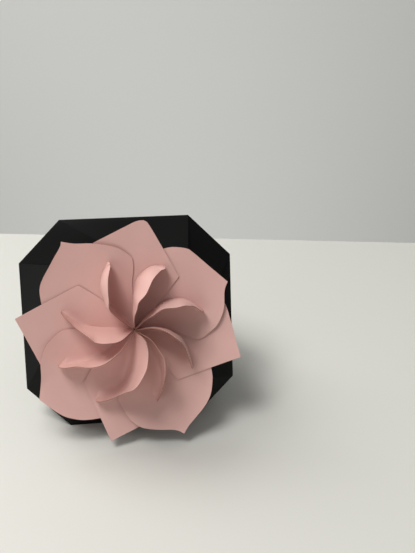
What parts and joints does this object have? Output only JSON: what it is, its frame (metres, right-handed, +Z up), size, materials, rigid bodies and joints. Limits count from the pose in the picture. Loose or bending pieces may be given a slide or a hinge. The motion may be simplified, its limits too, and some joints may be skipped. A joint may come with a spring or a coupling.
{
  "type": "folded card gift box",
  "caption": "Gem-shaped folded black card box lying on a side face, its lid flaps closed by a flower of interlocked pink paper petals.",
  "frame": {"origin": "middle of the wide side face that the box rests on", "axes": "+Z up; -Y towards the flower, +Y towards the cone's tip; +X to the right as seen from the flower"},
  "size_m": [0.1018, 0.1846, 0.1012],
  "materials": {
    "black_card": "satin",
    "pink_card": "matte"
  },
  "bodies": {
    "root": {"box_body": "black_card", "square_petal_1": "pink_card", "square_petal_2": "pink_card", "square_petal_3": "pink_card", "square_petal_4": "pink_card", "pointed_petal_1": "pink_card", "pointed_petal_2": "pink_card", "pointed_petal_3": "pink_card", "pointed_petal_4": "pink_card"}
  },
  "joints": []
}
